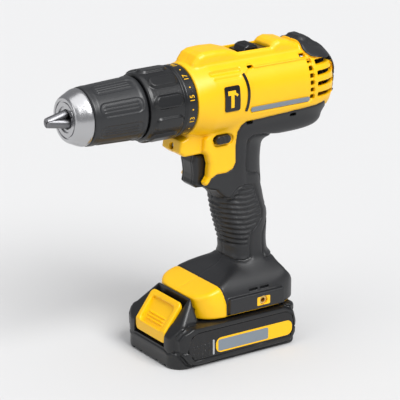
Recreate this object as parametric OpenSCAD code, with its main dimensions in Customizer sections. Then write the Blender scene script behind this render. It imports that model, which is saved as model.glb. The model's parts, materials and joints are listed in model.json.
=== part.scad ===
// Compact cordless drill driver with a keyless chuck, three-stage planetary gearbox and slide pack.
// The chuck points along -Y, +X is the tool's left side, +Z is up and the pack stands on z = 0.

/* [Chuck] */
// Height of the chuck axis above the underside of the pack
axis_z = 185; // [180:0.5:190]
// Place of the closed jaw tips along the tool
tip_y = -114; // [-114.5:0.5:-113.5]
// Slope of each jaw against the chuck axis
jaw_angle = 14; // [13.5:0.5:14.5]
// Radius of the round jaws
jaw_r = 3.3; // [3.2:0.1:3.3]
// Radius of the groove along the three gripping faces
grip_r = 0.75; // [0.7:0.05:0.9]
// Outside radius of the sleeve at its rear edge
sleeve_r = 22.1; // [21.8:0.1:22.4]

/* [Torque collar] */
// Radius of the collar's barrel between its finger pads
collar_r = 24; // [23.8:0.1:24.2]
// Number of finger pads round the collar
collar_pads = 10; // [8:1:12]
// Height of a finger pad
pad_rise = 1.1; // [0.6:0.1:1.2]

/* [Gearbox] */
// Tooth module of the first and third stages
fine_module = 0.58; // [0.575:0.005:0.585]
// Tooth module of the middle stage
mid_module = 0.65; // [0.645:0.005:0.655]
// Running play of each tooth flank
backlash = 0.035; // [0.03:0.005:0.04]

/* [Housing] */
// Radius of the round barrel behind the collar
barrel_r = 25.1; // [24.9:0.1:25.4]
// Half width of the motor barrel
barrel_half_w = 26; // [25.5:0.1:26.5]
// Wall of the moulded shells
wall = 2.4; // [2.3:0.1:2.5]
// Thickness of the soft overmould
soft = 1.6; // [1.4:0.1:1.8]
// Half width of the handle
handle_half_w = 16.5; // [16:0.1:17]

/* [Pack] */
// Half width of the pack shells
pack_half_w = 34.6; // [34.5:0.1:35]
// Height of the seam between the two pack shells
seam_z = 13; // [12:0.5:14]
// Radius of one cell
cell_r = 9.1; // [9:0.05:9.1]
// Number of cells in the row
cell_count = 5; // [5:1:5]

/* [Hidden] */
$fn = 64;

fine_teeth = 18;
fine_ring_teeth = 3 * fine_teeth;
mid_sun_teeth = 24;
mid_planet_teeth = 12;
mid_ring_teeth = mid_sun_teeth + 2 * mid_planet_teeth;
fine_centre = fine_module * fine_teeth;
mid_centre = mid_module * (mid_sun_teeth + mid_planet_teeth) / 2;
planet_angles = [0, 120, 240];
jaw_angles = [-90, 30, 150];
pin_r = 1.5;
bush_r = 1.6;
shaft_r = 1.6;
spindle_r = 7;
gearbox_r = 21.6;
ring_seat_r = 20;
can_r = 17.9;
nose_tube_r = 14.8;
nose_y = -99.8;
sleeve_front_y = -89.1;
sleeve_rear_y = -47.5;
collar_front_y = -46.5;
collar_rear_y = -10.3;
body_front_y = -9.7;
foot_z = 31;
boss_r = 3.6;
screw_r = 1.5;
screw_hole_r = 1.55;
hook_yz = [38.5, 38.5];
button_yz = [14.6, 156.5];
pad_w = 7;
barrel_mid_z = 184;
barrel_half_h = 34;
round_y = 70;
plate_y0 = 10.6;
plate_y1 = 23;
plate_z0 = 178.4;
plate_z1 = 195.8;
// Side places, as [y, z], of the screws that close the housing.
screw_places = [[2, 211.6], [72, 208], [97, 167], [31, 159.2], [31, 97], [50.5, 68], [12, 42.8], [64.5, 42.8]];

// ---------- helpers ----------

// Puts a child's local z along the tool's +Y, on the chuck axis.
module on_axis(y = 0) translate([0, y, axis_z]) rotate([-90, 0, 0]) children();

// Revolves a [radius, y] outline about the chuck axis.
module turned(outline) on_axis() rotate_extrude($fn = 96) polygon(outline);

module ring(r_out, r_in, y0, y1) turned([[r_in, y0], [r_out, y0], [r_out, y1], [r_in, y1]]);

// Extrudes a [y, z] outline across the tool.
module across(half_w) rotate([90, 0, 90]) translate([0, 0, -half_w]) linear_extrude(2 * half_w) children();

// Extrudes an [x, z] outline along the tool from y0 to y1.
module along(y0, y1) translate([0, y1, 0]) rotate([90, 0, 0]) linear_extrude(y1 - y0) children();

// Extrudes an [x, y] outline upwards from z0 to z1.
module upward(z0, z1) translate([0, 0, z0]) linear_extrude(z1 - z0) children();

module box(x0, x1, y0, y1, z0, z1) translate([x0, y0, z0]) cube([x1 - x0, y1 - y0, z1 - z0]);

// A rod along X, between two x values, at a [y, z] place.
module cross_rod(r, x0, x1, yz) translate([x0, yz[0], yz[1]]) rotate([0, 90, 0]) cylinder(r = r, h = x1 - x0, $fn = 32);

module on_circle(radius, angles = planet_angles) for (a = angles) rotate(a) translate([radius, 0]) children();

// Outline with its corners rounded to r.
module rounded(r) offset(r = r, $fn = 24) offset(delta = -r) children();

// ---------- gears ----------

// Angle in degrees between an involute's start and its point at pressure angle a.
function involute(a) = tan(a) * 180 / PI - a;

// Half the angle of a tooth at radius r.
function half_tooth(m, teeth, r, play) =
    let (pitch_r = m * teeth / 2)
    let (base_r = pitch_r * cos(20))
    90 / teeth + involute(20) - involute(r > base_r ? acos(base_r / r) : 0) - play / pitch_r * 180 / PI;

function polar(r, a) = [r * cos(a), r * sin(a)];

// Involute outline, first tooth at angle turn. A negative play widens the teeth.
function gear_outline(m, teeth, root, tip, play, turn) =
    let (pitch_r = m * teeth / 2)
    let (radii = [pitch_r - root, pitch_r - root / 2, pitch_r, pitch_r + tip / 2, pitch_r + tip])
    [for (k = [0 : teeth - 1])
        let (middle = turn + k * 360 / teeth)
        each concat(
            [for (i = [0 : 4]) polar(radii[i], middle - half_tooth(m, teeth, radii[i], play))],
            [for (i = [4 : -1 : 0]) polar(radii[i], middle + half_tooth(m, teeth, radii[i], play))])];

module gear(m, teeth, turn, length, bore = 0) {
    linear_extrude(length) difference() {
        polygon(gear_outline(m, teeth, 1.2 * m, 0.95 * m, backlash, turn));
        if (bore > 0) circle(bore);
    }
}

// Ring with internal teeth: the cutter's teeth are the gaps between them.
module ring_gear(m, teeth, r_out, length) {
    linear_extrude(length) difference() {
        circle(r_out);
        polygon(gear_outline(m, teeth, 0.9 * m, 1.2 * m, -backlash, 180 / teeth));
    }
}

// ---------- body outlines ----------

function signed_power(v, p) = sign(v) * pow(abs(v), p);

// Superellipse from angle a0 to a1: fuller than an ellipse where n is over 2.
function oval(rx, ry, n, step = 15, a0 = 0, a1 = 345) =
    [for (a = [a0 : step : a1]) [rx * signed_power(cos(a), 2 / n), ry * signed_power(sin(a), 2 / n)]];

// Side view of the motor barrel, its round back an arc about a centre in the motor.
barrel_side = concat(
    [[body_front_y, 160], [body_front_y, axis_z + barrel_r], [-4, 216], [2, 217.9], [20, 218],
     [28, 216.4], [59, 217], [66, 218], [75, 215.4], [86, 212.4], [91, 216]],
    [for (a = [60 : -12 : -48]) [79.5, 183.5] + polar(34.5, a)],
    [[96, 154.6], [87, 152], [73, 150.8], [62, 149.6], [50, 146], [3, 146], [2, 150]]);

// Side view of the handle, with the throat that holds the trigger at its top front.
handle_side = [
    [4.6, 156], [4.8, 140], [4, 130], [-1, 126.3], [2, 122.8], [11, 120.2], [18, 114.6], [19.6, 107],
    [22, 94.4], [24.5, 84], [27.6, 73.8], [28.3, 67], [27, 58], [62, 56], [60, 66], [58.6, 77],
    [59, 88], [58.4, 96], [55, 109.4], [52.6, 124], [52.4, 138], [55, 150], [55, 156]];

// Side view of the foot, from its black top to the yellow skirt in front.
foot_side = [
    [27, 62], [14, 56.5], [5.5, 53], [-13, 46.8], [-12.4, foot_z], [69, foot_z], [73.5, 34],
    [74.2, 39], [72.5, 45.5], [66, 52], [61, 62]];

// Side view of everything that the soft overmould covers.
soft_side = [
    [-8, 112], [0, 122], [3, 125], [6.3, 129.5], [10.4, 131.7], [18.8, 131.6], [23.8, 133.6], [25.9, 137.6],
    [25.8, 150.6], [25.7, 160], [27.8, 164.7], [31, 167.5], [57, 168.7], [91, 170.5], [98, 172],
    [108, 164], [120, 140], [84, 33.2], [9, 33.2], [9, 40], [7, 48], [5.2, 54.5], [0, 64]];

// Side view of the bumper round the top of the back.
bumper_side = [
    [87.5, 206], [87.5, 222], [122, 222], [122, 176], [110, 176], [109.5, 188], [105, 197], [99, 201.5], [94, 203]];

module barrel_section(t) {
    translate([0, barrel_mid_z]) polygon(oval(barrel_half_w - t, barrel_half_h - t, 2.5));
}

module barrel_plan(t) {
    polygon(concat(
        [[t - barrel_half_w, body_front_y - 1], [barrel_half_w - t, body_front_y - 1]],
        [for (p = oval(barrel_half_w - t, 114 - round_y - t, 2.6, 15, 0, 180)) p + [0, round_y]]));
}

module foot_plan(t) {
    translate([0, 30.3]) polygon(oval(33.2 - t, 43.9 - t, 4));
}

// The outside of the tool without its battery, drawn in by t all over.
module barrel_form(t) {
    intersection() {
        across(40) offset(delta = -t) polygon(barrel_side);
        along(-20, 130) barrel_section(t);
        upward(130, 230) barrel_plan(t);
    }
}

// Nose under the collar that holds the work lamp.
module lamp_nose(t) {
    across(12 - t) offset(delta = -t)
        polygon([[-9.9, 162], [-9.9, 160], [-15.4, 158], [-16.8, 150], [-12.6, 146.6], [14, 146.6], [14, 162]]);
}

module handle_form(t) {
    intersection() {
        across(handle_half_w - t + 1) offset(delta = -t) polygon(handle_side);
        union() {
            translate([0, 45.5, 55]) rotate([7, 0, 0]) translate([0, 0, -10])
                linear_extrude(120) polygon(oval(handle_half_w - t, 21.2 - t, 2.4));
            box(t - handle_half_w + 0.3, handle_half_w - t - 0.3, -6, 33, 119, 158);
        }
    }
}

module foot_form(t) {
    intersection() {
        across(40) offset(delta = -t) polygon(foot_side);
        upward(20, 70) foot_plan(t);
    }
}

module body_form(t) {
    barrel_form(t);
    lamp_nose(t);
    handle_form(t);
    foot_form(t);
}

// Channel in the foot that the pack's rails slide in, open at the front.
module rail_channel() box(-21, 21, -20, 62.5, foot_z - 1, 38.5);

module trigger_slot() box(-9.6, 9.6, -10, 30, 120.6, 146.2);

// Stadium section of the direction button.
module button_shape(grow) {
    for (s = [-1, 1]) translate(button_yz + [3 * s, 0]) circle(3.1 + grow);
    translate(button_yz) square([6, 6.2 + 2 * grow], center = true);
}

// Long cooling slots at the back, small square ones before them and two windows.
module side_openings() {
    for (z = [177, 184.6, 192.2, 199.4]) box(-40, 40, 90, 103, z, z + 2.6);
    for (k = [0 : 5]) box(-40, 40, 83.6, 86.6, 176.3 + 4.9 * k, 178.9 + 4.9 * k);
    for (yz = [[34, 203.5], [79, 204.5]]) box(-40, 40, yz[0], yz[0] + 5, yz[1], yz[1] + 2.2);
    across(40) button_shape(0.4);
    for (s = [-1, 1]) box(s > 0 ? 25.2 : -30, s > 0 ? 30 : -25.2, plate_y0, plate_y1, plate_z0, plate_z1);
}

module selector_pocket() {
    box(-9.5, 9.5, 31.5, 59.5, 211.2, 230);
    box(-4.4, 4.4, 32, 49, 205, 230);
}

// Tray under the speed selector.
module selector_tray() box(-11.5, 11.5, 29.5, 61.5, 209.3, 214.2);

module screw_bosses(r) for (p = screw_places) cross_rod(r, 0.1 - barrel_half_w, barrel_half_w - 0.1, p);

// Cradles that hold the gearbox and the motor in the shells.
module cradles() for (y = [36, 78]) difference() {
    box(-25, 25, y, y + 2.4, 168, 203.4);
    ring(can_r + 0.05, 0, y - 1, y + 4);
}

module hook_bosses() for (s = [-1, 1]) cross_rod(5, s > 0 ? 25 : -32, s > 0 ? 32 : -25, hook_yz);

// Everything that the overmould and the bumper take off the hard shells.
module soft_cut() {
    difference() {
        union() { across(40) polygon(soft_side); across(40) polygon(bumper_side); }
        body_form(soft);
    }
}

module shell_half(side) {
    difference() {
        intersection() {
            union() {
                difference() {
                    body_form(0);
                    barrel_form(wall);
                    handle_form(wall + soft);
                    foot_form(wall + soft);
                    soft_cut();
                }
                intersection() {
                    union() { screw_bosses(boss_r); cradles(); hook_bosses(); selector_tray(); }
                    body_form(soft + 0.3);
                }
            }
            if (side > 0) box(0, 60, -20, 140, 20, 240); else box(-60, 0, -20, 140, 20, 240);
        }
        // Front bore round the gearbox flange and the hole for the lamp.
        ring(gearbox_r + 0.4, 0, body_front_y - 2, 12);
        on_axis() translate([0, 32.4, -18]) cylinder(r = 2.6, h = 14);
        on_axis() translate([0, 32.4, -8.1]) cylinder(r = 3.1, h = 4.1);
        // Passages that carry the leads between the hollows of the foot, handle and barrel.
        box(-9, 9, 41, 50, 57, 62);
        box(-9, 9, 37.5, 44.5, 151, 154);
        side_openings();
        selector_pocket();
        trigger_slot();
        rail_channel();
        for (p = screw_places) cross_rod(screw_hole_r, -40, side > 0 ? 10 : 0, p);
        // Counterbores for the screw heads, from the right side.
        if (side < 0) for (p = screw_places) cross_rod(3.3, -40, -head_x(p), p);
        for (s = [-1, 1]) cross_rod(3.2, s > 0 ? 26 : -40, s > 0 ? 40 : -26, hook_yz);
    }
    // Rail that the pack's groove slides on.
    box(side > 0 ? 19 : -22, side > 0 ? 22 : -19, 4, 62, 32.2, 33.3);
}

// Depth of a screw head: nearer the middle in the handle and under the ridge.
function head_x(p) = p[1] > 205 || p[1] > 60 && p[1] < 140 ? 8 : 14;

module housing_left() color("gold") shell_half(1);

module housing_right() color("gold") shell_half(-1);

module soft_skin() {
    difference() {
        intersection() { body_form(0); across(40) polygon(soft_side); }
        body_form(soft);
        trigger_slot();
        across(40) button_shape(0.4);
        rail_channel();
        // Square window round each belt hook insert.
        across(40) translate([33, 34.8]) square([11, 7]);
    }
}

module grip_left() color("dimgray") intersection() { soft_skin(); box(0, 60, -40, 140, -20, 260); }

module grip_right() color("dimgray") difference() {
    intersection() { soft_skin(); box(-60, 0, -40, 140, -20, 260); }
    for (p = screw_places) if (p[1] < 170) cross_rod(3.3, -40, -7, p);
}

module rear_bumper() color("dimgray") difference() {
    intersection() { barrel_form(0); across(40) polygon(bumper_side); }
    barrel_form(soft);
    side_openings();
}

module housing_screws() color("silver") for (p = screw_places) {
    cross_rod(screw_r, -head_x(p), 9, p);
    difference() {
        cross_rod(2.9, -head_x(p) - 2.4, -head_x(p), p);
        cross_rod(1.2, -head_x(p) - 4, -head_x(p) - 1.2, p);
    }
}

// Mode plates behind the collar, one on each flank.
module side_plates() color("black") for (s = [-1, 1])
    box(s > 0 ? 25.2 : -26.4, s > 0 ? 26.4 : -25.2, plate_y0, plate_y1, plate_z0, plate_z1);

module led_lamp() color("white") on_axis() translate([0, 32.4, 0]) {
    translate([0, 0, -17]) cylinder(r = 2.5, h = 9);
    translate([0, 0, -8]) cylinder(r = 2.9, h = 1.2);
}

module belt_hook_inserts() color("goldenrod") for (s = [-1, 1]) difference() {
    cross_rod(3.2, s > 0 ? 26 : -33, s > 0 ? 33 : -26, hook_yz);
    cross_rod(1.65, s > 0 ? 27 : -35, s > 0 ? 35 : -27, hook_yz);
}

// ---------- gearbox ----------

module gear_housing() color("darkgray") difference() {
    turned([
        [12, -44], [nose_tube_r, -44], [nose_tube_r, -10], [gearbox_r, -10], [gearbox_r, 29.5], [6.6, 29.5],
        [6.6, 27.2], [ring_seat_r, 27.2], [ring_seat_r, -6.4], [13.4, -6.4], [13.4, -12], [12, -12]]);
    // Ball seats through the front wall and the shift fork's slot on top.
    on_axis(-11) for (a = [0 : 60 : 300]) rotate(a) translate([17.6, 0, 0]) cylinder(r = 2.1, h = 6, $fn = 32);
    box(-4, 4, 2, 20.4, 200, 212);
}

module clutch_balls() color("silver") on_axis(-8.3)
    for (a = [0 : 60 : 300]) rotate(a) translate([17.6, 0, 0]) sphere(r = 2, $fn = 24);

module clutch_washer() color("silver") ring(20, 15.1, -12.2, -10.9);

// Round wire wound as a helix, as rings of points joined into one closed skin.
spring_turns = 5;
spring_wire_r = 1.1;
spring_mean_r = 17.5;
spring_steps = 16;
spring_sides = 8;
spring_y0 = -28.2;
spring_y1 = -13.5;
module clutch_spring() {
    count = spring_turns * spring_steps;
    points = [for (i = [0 : count]) for (j = [0 : spring_sides - 1])
        let (a = 360 * i / spring_steps)
        let (b = 360 * j / spring_sides)
        let (r = spring_mean_r + spring_wire_r * cos(b))
        [r * cos(a), r * sin(a), spring_y0 + (spring_y1 - spring_y0) * i / count + spring_wire_r * sin(b)]];
    skin = [for (i = [0 : count - 1]) for (j = [0 : spring_sides - 1])
        let (k = (j + 1) % spring_sides)
        [i * spring_sides + j, (i + 1) * spring_sides + j, (i + 1) * spring_sides + k, i * spring_sides + k]];
    ends = [[for (j = [0 : spring_sides - 1]) j],
            [for (j = [spring_sides - 1 : -1 : 0]) count * spring_sides + j]];
    color("silver") on_axis() polyhedron(points, concat(skin, ends));
}

module ring_gear_front() color("gray") {
    on_axis(-6) ring_gear(fine_module, fine_ring_teeth, 19.7, 9);
}

module ring_gear_rear() color("gray") {
    on_axis(20.4) ring_gear(fine_module, fine_ring_teeth, ring_seat_r, 6.6);
}

// One hammer ratchet: a washer with face teeth on the side that dir points to.
module ratchet(r_out, r_in, y, dir) {
    ring(r_out, r_in, y, y + 2);
    on_axis(dir > 0 ? y + 2 : y - 1) linear_extrude(1) for (a = [0 : 30 : 330]) rotate(a)
        polygon([polar(r_in + 0.2, -5), polar(r_out - 0.2, -5), polar(r_out - 0.2, 5), polar(r_in + 0.2, 5)]);
}

module ratchet_fixed() color("slategray") ratchet(12, 8, -16, -1);

module ratchet_spindle() color("slategray") ratchet(11.4, spindle_r, -22, 1);

module spindle_bearing() color("silver") {
    turned([
        [spindle_r + 0.04, -38], [8.9, -38], [8.9, -37.2], [10.2, -37.2], [10.2, -38], [12, -38],
        [12, -30], [10.2, -30], [10.2, -30.8], [8.9, -30.8], [8.9, -30], [spindle_r + 0.04, -30]]);
}

module spindle() color("silver") turned([
    [3, -66], [6.2, -66], [6.2, -55], [spindle_r, -55], [spindle_r, -4.5], [0, -4.5],
    [0, -40], [3, -40]]);

module carrier_front() color("gray") {
    difference() {
        ring(13, spindle_r, -7, -4.5);
        on_axis(-8) on_circle(fine_centre) cylinder(r = pin_r, h = 5);
    }
    on_axis(-7) on_circle(fine_centre) cylinder(r = pin_r, h = 9.8);
}

module planet_front(a) color("silver") on_axis(-4) rotate(a) translate([fine_centre, 0, 0])
    gear(fine_module, fine_teeth, 10, 6.5, bush_r);

module planet_front_1() planet_front(planet_angles[0]);

module planet_front_2() planet_front(planet_angles[1]);

module planet_front_3() planet_front(planet_angles[2]);

module carrier_middle() color("gray") {
    on_axis(-4) gear(fine_module, fine_teeth, 0, 8);
    ring(13.8, 0, 4, 7);
    on_axis(7) on_circle(mid_centre) cylinder(r = pin_r, h = 6.8);
}

module planets_middle() color("silver") on_axis(7.3) for (a = planet_angles) rotate(a)
    translate([mid_centre, 0, 0]) gear(mid_module, mid_planet_teeth, 15, 6.3, bush_r);

module carrier_rear() color("gray") {
    on_axis(7.3) gear(mid_module, mid_sun_teeth, 0, 8.2);
    ring(14.4, 0, 15.5, 19);
    on_axis(19) on_circle(fine_centre) cylinder(r = pin_r, h = 7.2);
}

module planet_rear(a) color("silver") on_axis(19.9) rotate(a) translate([fine_centre, 0, 0])
    gear(fine_module, fine_teeth, 10, 6.2, bush_r);

module planet_rear_1() planet_rear(planet_angles[0]);

module planet_rear_2() planet_rear(planet_angles[1]);

module planet_rear_3() planet_rear(planet_angles[2]);

module shift_ring() color("slategray") on_axis(9.2)
    difference() {
        ring_gear(mid_module, mid_ring_teeth, 19.2, 10.4);
        // Groove round the outside for the shift fork.
        translate([0, 0, 4]) difference() {
            cylinder(r = 20, h = 2.4);
            translate([0, 0, -1]) cylinder(r = 17.8, h = 5);
        }
    }

// ---------- motor ----------

module motor_can() color("lightslategray") difference() {
    turned([[6.2, 30], [can_r, 30], [can_r, 84], [can_r - 1, 84], [can_r - 1, 31.4], [6.2, 31.4]]);
    for (a = [0 : 60 : 300]) on_axis(34) rotate(a) translate([14, 0, 3]) cube([10, 8, 6], center = true);
}

module motor_magnets() color("dimgray") for (a = [15, 195]) on_axis(43) rotate(a) linear_extrude(31)
    intersection() {
        difference() { circle(can_r - 1); circle(14); }
        polygon([[0, 0], polar(30, 0), polar(30, 75), polar(30, 150)]);
    }

module motor_end_cap() color("black") difference() {
    union() {
        ring(can_r, 1.7, 84, 88);
        ring(5.5, 1.7, 88, 90);
        for (s = [-1, 1]) box(s > 0 ? 5.8 : -15, s > 0 ? 15 : -5.8, 77, 84, axis_z - 3.6, axis_z + 3.6);
    }
    for (s = [-1, 1]) box(s > 0 ? 5.2 : -13.4, s > 0 ? 13.4 : -5.2, 78.4, 82.6, axis_z - 2.4, axis_z + 2.4);
    for (a = [45 : 90 : 315]) on_axis(83) rotate(a) translate([12, 0, 0]) cylinder(r = 3, h = 6, $fn = 32);
}

module carbon_brushes() color("black") for (s = [-1, 1])
    box(s > 0 ? 5.1 : -13, s > 0 ? 13 : -5.1, 78.5, 82.5, axis_z - 2.3, axis_z + 2.3);

module rotor_shaft() color("silver") ring(shaft_r, 0, 19.8, 89);

module pinion_gear() color("gray") on_axis(19.8) gear(fine_module, fine_teeth, 0, 8, shaft_r);

module rotor_core() color("brown") on_axis(44) {
    linear_extrude(29) difference() {
        circle(13.4);
        circle(shaft_r);
        for (k = [0 : 4]) rotate(72 * k) translate([6.4, -0.9]) square([8, 1.8]);
        for (k = [0 : 4]) rotate(72 * k) translate([8.6, 0]) circle(2.2);
    }
}

module commutator() color("peru") on_axis(74) linear_extrude(9) difference() {
    circle(4.8);
    circle(shaft_r);
    for (k = [0 : 4]) rotate(72 * k) translate([4.2, -0.2]) square([2, 0.4]);
}

module cooling_fan() color("black") {
    ring(15.8, shaft_r, 40, 41.2);
    on_axis(34) for (k = [0 : 8]) rotate(40 * k) translate([9, -0.6, 0]) cube([6.6, 1.2, 6.2]);
    ring(4, shaft_r, 34, 40);
}

// ---------- chuck ----------

// A round bar along one jaw's sloping line, from the closed tip backwards.
module jaw_bar(a, r, from, length) on_axis(tip_y) rotate(a) rotate([0, jaw_angle, 0])
    translate([0, 0, from]) cylinder(r = r, h = length, $fn = 48);

module jaw(a) {
    face_gap = 0.13;
    color("silver") difference() {
        intersection() {
            jaw_bar(a, jaw_r, -3, 43);
            // Third of a circle between the two gripping faces.
            on_axis(tip_y - 10) rotate(a) translate([2 * face_gap, 0, 0]) linear_extrude(60)
                polygon([[0, 0], polar(40, -60), [40, 0], polar(40, 60)]);
            on_axis(tip_y) cylinder(r = 30, h = 60);
        }
        on_axis(tip_y - 1) cylinder(r = grip_r, h = 50);
    }
}

module jaw_top() jaw(jaw_angles[0]);

module jaw_left() jaw(jaw_angles[1]);

module jaw_right() jaw(jaw_angles[2]);

module chuck_body() color("silver") difference() {
    turned([
        [0, -99], [13.2, -99], [13.2, -87], [16.2, -87], [16.2, -86.4], [10.2, -86.4], [10.2, -76.6],
        [16.2, -76.6], [16.2, -70], [16.2, -55], [0, -55]]);
    on_axis(-100) cylinder(r = 6.75, h = 34);
    on_axis(-67) cylinder(r = 6.2, h = 13);
    for (a = jaw_angles) jaw_bar(a, jaw_r + 0.15, 0, 70);
}

module chuck_nose() color("silver") turned([
    [8.6, nose_y], [14.7, nose_y], [15.6, nose_y + 0.5], [19.7, sleeve_front_y - 1],
    [19.7, sleeve_front_y + 0.7], [13.2, sleeve_front_y + 0.7], [13.2, -99], [8.6, -99]]);

module chuck_screw() color("gray") difference() {
    turned([[0, -69.6], [5.2, -69.6], [5.2, -66], [2.9, -66], [2.9, -50], [0, -50]]);
    on_axis(-71) cylinder(r = 2, h = 3.4, $fn = 6);
}

module chuck_sleeve() color("dimgray") difference() {
    turned([
        [16.6, -88], [19.6, -88], [20.2, -87], [21, -72], [sleeve_r - 0.3, -52], [sleeve_r, -50],
        [sleeve_r - 0.6, sleeve_rear_y], [19.3, sleeve_rear_y], [19.3, -68], [16.6, -76.4]]);
    // Three fine grooves in each of eight groups.
    for (k = [0 : 7]) for (j = [-1 : 1]) on_axis(-78) rotate(45 * k + 6 * j)
        translate([21.2, -0.35, 0]) cube([3, 0.7, 20]);
}

module chuck_nut() color("gray") difference() {
    ring(16.6, 0, -86, -77);
    // Cone that runs along the jaws' backs with a small play.
    on_axis() rotate_extrude($fn = 96) polygon([
        [0, -87], [jaw_back_r(-87), -87], [jaw_back_r(-76), -76], [0, -76]]);
}

// Radius of the jaws' backs at y, with the nut's thread play.
function jaw_back_r(y) = (y - tip_y) * tan(jaw_angle) + jaw_r / cos(jaw_angle) + 0.3;

// ---------- controls ----------

module torque_collar() color("dimgray") difference() {
    union() {
        turned([
            [15.4, collar_front_y], [collar_r - 1.6, collar_front_y], [collar_r - 0.6, collar_front_y + 1],
            [collar_r, collar_front_y + 4], [collar_r, -20], [collar_r + 0.7, -18.6], [collar_r + 0.7, collar_rear_y],
            [20.7, collar_rear_y], [20.7, -44.2], [15.4, -44.2]]);
        for (k = [0 : collar_pads - 1]) on_axis(-42.5) rotate(360 / collar_pads * k) linear_extrude(21)
            rounded(0.5) polygon([[22, -pad_w / 2], [collar_r + pad_rise - 0.3, -pad_w / 2], [collar_r + pad_rise, 0],
                [collar_r + pad_rise - 0.3, pad_w / 2], [22, pad_w / 2]]);
    }
    // Keyways that turn the clutch nut.
    for (a = [90, 270]) on_axis(-44.2) rotate(a) translate([20.2, -1.6, 0]) cube([1.8, 3.2, 20]);
}

module clutch_nut() color("goldenrod") {
    ring(20.3, 15.1, -36.5, -32.5);
    for (a = [90, 270]) on_axis(-36.5) rotate(a) translate([20, -1.2, 0]) cube([1.5, 2.4, 4]);
}

module speed_selector() color("dimgray") {
    box(-8.6, 8.6, 37.4, 59, 211.6, 213);
    across(7) rounded(1.5) polygon([[39, 212], [40.4, 215.4], [43, 216.7], [48, 216.7], [50.6, 215.4], [52, 212]]);
    // Stem and fork that carry the shift ring.
    box(-3, 3, 38, 48, 207.6, 212);
    box(-3, 3, 14.3, 48, 207, 209);
    box(-2.6, 2.6, 13.5, 15.3, 203.3, 209);
}

module trigger() color("dimgray") {
    across(9) rounded(1.6) polygon([
        [-2.6, 145.6], [-3.8, 140], [-2.6, 131], [-3.6, 124], [-1, 121.4], [5, 120.9], [12, 123], [12, 145.8]]);
    box(-6, 6, 10, 14.6, 127, 142);
}

module direction_button() color("black") across(19.6) button_shape(0);

module trigger_switch() color("dimgray") difference() {
    union() {
        box(-9.4, 9.4, 22.4, 46, 119, 143.4);
        box(-4, 4, 21.6, 30, 143.4, 150);
    }
    // Well for the trigger's plunger.
    box(-6.6, 6.6, 20, 26, 126, 142.6);
}

module terminal_block() color("orange") {
    box(-17, 17, 44, 58, 39, 46);
    for (x = [-12, -4, 4, 12]) box(x - 0.4, x + 0.4, 45, 53, 32.4, 39);
}

// Leads from the pack terminals to the switch, one each side.
module switch_leads() color("red") for (s = [-1, 1]) hull() {
    translate([6 * s, 47, 46]) cylinder(r = 1.2, h = 1, $fn = 16);
    translate([6 * s, 38, 118]) cylinder(r = 1.2, h = 1, $fn = 16);
}

// Leads from the switch up and back to the motor's end cap.
module motor_leads() color("black") for (s = [-1, 1]) {
    box(6 * s - 1, 6 * s + 1, 40, 42, 143.4, 158);
    box(6 * s - 1, 6 * s + 1, 40, 92, 158, 160);
    box(6 * s - 1, 6 * s + 1, 90, 92, 158, 175);
    box(6 * s - 1, 6 * s + 1, 88, 92, 175, 177);
}

// ---------- pack ----------

pack_front_y = -35.4;
pack_rear_y = 68;
pack_top_z = 30.5;
cell_pitch = 18.3;
first_cell_y = -18.4;

module pack_plan() {
    hull() {
        for (s = [-1, 1]) translate([s * (pack_half_w - 12), pack_front_y + 12]) circle(12);
        for (s = [-1, 1]) translate([s * (pack_half_w - 6), pack_rear_y - 6]) circle(6);
    }
}

// Side view of the raised front that carries the release button.
tower_side = [
    [pack_front_y, seam_z], [pack_front_y, 22.5], [-33.7, 24.6], [-14.6, 46], [-13.4, 46], [-12.9, seam_z]];

// Front view of the tower: its flanks lean in towards the top.
tower_front = [[-34.6, seam_z], [-34.6, 25], [-31, 30.5], [-21, 46], [21, 46], [31, 30.5], [34.6, 25], [34.6, seam_z]];

// Everything in front of the tower's slope, drawn in by t.
module front_slope(t) across(40) polygon([[-40, 16 - t], [-35.4, 22.5 - 1.4 * t], [-26 + t, 34.3], [-40, 34.3]]);

module pack_form() {
    difference() {
        upward(0, pack_top_z) pack_plan();
        front_slope(0);
    }
    intersection() {
        across(35) polygon(tower_side);
        along(-36, -12) polygon(tower_front);
        upward(0, 50) pack_plan();
    }
}

module button_pocket() {
    across(19.1) polygon([[-37, 14], [-37, 26], [-20.9, 44.4], [-14.5, 48], [-15.6, 36], [-25, 24], [-29.2, 14]]);
}

module pack_hollow() {
    difference() {
        upward(1.8, pack_top_z - 1.8) offset(delta = -1.7) pack_plan();
        // Posts for the two front screws.
        for (s = [-1, 1]) translate([23 * s, -30, 0]) cylinder(r = 2.6, h = 40);
        front_slope(1.8);
    }
    // Round bed of each cell.
    for (k = [0 : cell_count - 1]) cross_rod(cell_r + 0.12, -32.7, 32.7, [first_cell_y + cell_pitch * k, 11.6]);
}

module pack_screw_holes() for (s = [-1, 1]) translate([23 * s, -30, 0]) {
    translate([0, 0, -1]) cylinder(r = 2.4, h = 3, $fn = 32);
    cylinder(r = 1.3, h = 20, $fn = 32);
}

module pack_lower_shell() color("dimgray") difference() {
    intersection() { pack_form(); box(-40, 40, -40, 80, 0, seam_z); }
    pack_hollow();
    pack_screw_holes();
}

module pack_upper_shell() color("dimgray") difference() {
    union() {
        intersection() { pack_form(); box(-40, 40, -40, 80, seam_z, 60); }
        box(-20.4, 20.4, -12.9, 62, pack_top_z - 1, 38);
    }
    pack_hollow();
    button_pocket();
    pack_screw_holes();
    // Slots for the tool's four blades, open to the rear.
    for (x = [-12, -4, 4, 12]) box(x - 0.9, x + 0.9, 43, 70, pack_top_z + 0.4, 40);
    // Side grooves that the foot's rails hold.
    for (s = [-1, 1]) box(s > 0 ? 18.6 : -22, s > 0 ? 22 : -18.6, -8, 70, 31.9, 33.6);
}

module pack_cells() color("steelblue") for (k = [0 : cell_count - 1])
    cross_rod(cell_r, -32.5, 32.5, [first_cell_y + cell_pitch * k, 11.6]);

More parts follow.
